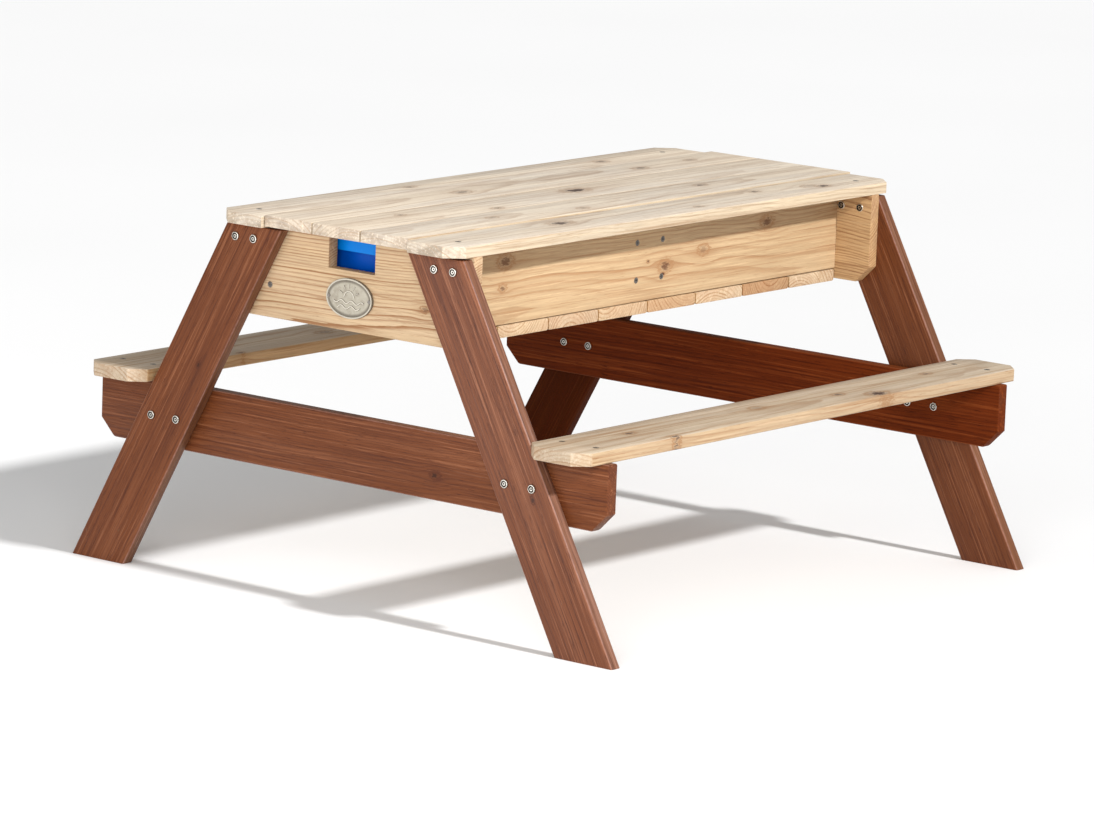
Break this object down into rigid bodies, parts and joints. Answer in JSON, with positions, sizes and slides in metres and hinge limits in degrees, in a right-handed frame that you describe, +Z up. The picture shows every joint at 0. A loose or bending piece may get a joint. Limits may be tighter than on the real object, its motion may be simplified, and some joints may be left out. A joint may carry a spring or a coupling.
{
  "type": "sand and water table",
  "caption": "Wooden picnic-style play table for children with two benches; part of the table top is a loose lid over plastic sand and water trays.",
  "frame": {"origin": "on the floor, under the middle of the table", "axes": "+X along the table towards the end without the badge, +Y across it, +Z up"},
  "size_m": [0.952, 0.92, 0.5],
  "materials": {
    "stained_wood": "brown stained softwood, satin",
    "pale_wood": "planed untreated softwood, matt",
    "warm_wood": "planed untreated softwood, matt",
    "blue_plastic": "moulded blue plastic",
    "bolt_steel": "bright nickel-plated steel",
    "screw_steel": "zinc-plated steel",
    "badge_metal": "cast plate, pale bronze-grey paint"
  },
  "bodies": {
    "table_frame": {"leg_left_front": "stained_wood", "leg_left_back": "stained_wood", "leg_right_front": "stained_wood", "leg_right_back": "stained_wood", "end_board_left": "warm_wood", "end_board_right": "warm_wood", "apron_front": "warm_wood", "apron_back": "warm_wood", "floor_slat_1": "pale_wood", "floor_slat_2": "pale_wood", "floor_slat_3": "pale_wood", "floor_slat_4": "pale_wood", "floor_slat_5": "pale_wood", "floor_slat_6": "pale_wood", "floor_slat_7": "pale_wood", "floor_slat_8": "pale_wood", "divider_left": "warm_wood", "divider_right": "warm_wood", "rail_left": "stained_wood", "rail_right": "stained_wood", "top_board_front": "pale_wood", "top_board_back": "pale_wood", "seat_front": "pale_wood", "seat_back": "pale_wood", "bolts_left": "bolt_steel", "bolts_right": "bolt_steel", "sleeve_nuts_left": "bolt_steel", "sleeve_nuts_right": "bolt_steel", "seat_screws": "screw_steel", "top_board_screws": "screw_steel", "apron_screws": "screw_steel", "divider_screws": "screw_steel", "floor_screws": "screw_steel", "badge_plate": "badge_metal", "badge_screws": "screw_steel"},
    "lid": {"lid_board_1": "pale_wood", "lid_board_2": "pale_wood", "lid_board_3": "pale_wood", "lid_batten_left": "warm_wood", "lid_batten_right": "warm_wood", "lid_screws": "screw_steel"},
    "tray_left": {"tray_left": "blue_plastic"},
    "tray_right": {"tray_right": "blue_plastic"}
  },
  "joints": [
    {"name": "lid_lift", "type": "slide", "parent": "table_frame", "child": "lid", "axis": [0, 0, 1], "range_m": [0, 0.36]},
    {"name": "tray_left_lift", "type": "slide", "parent": "table_frame", "child": "tray_left", "axis": [0, 0, 1], "range_m": [0, 0.18]},
    {"name": "tray_right_lift", "type": "slide", "parent": "table_frame", "child": "tray_right", "axis": [0, 0, 1], "range_m": [0, 0.18]}
  ],
  "couplings": [
    {"joint": "tray_left_lift", "follows": "lid_lift", "ratio": 0.5},
    {"joint": "tray_right_lift", "follows": "lid_lift", "ratio": 0.5}
  ]
}
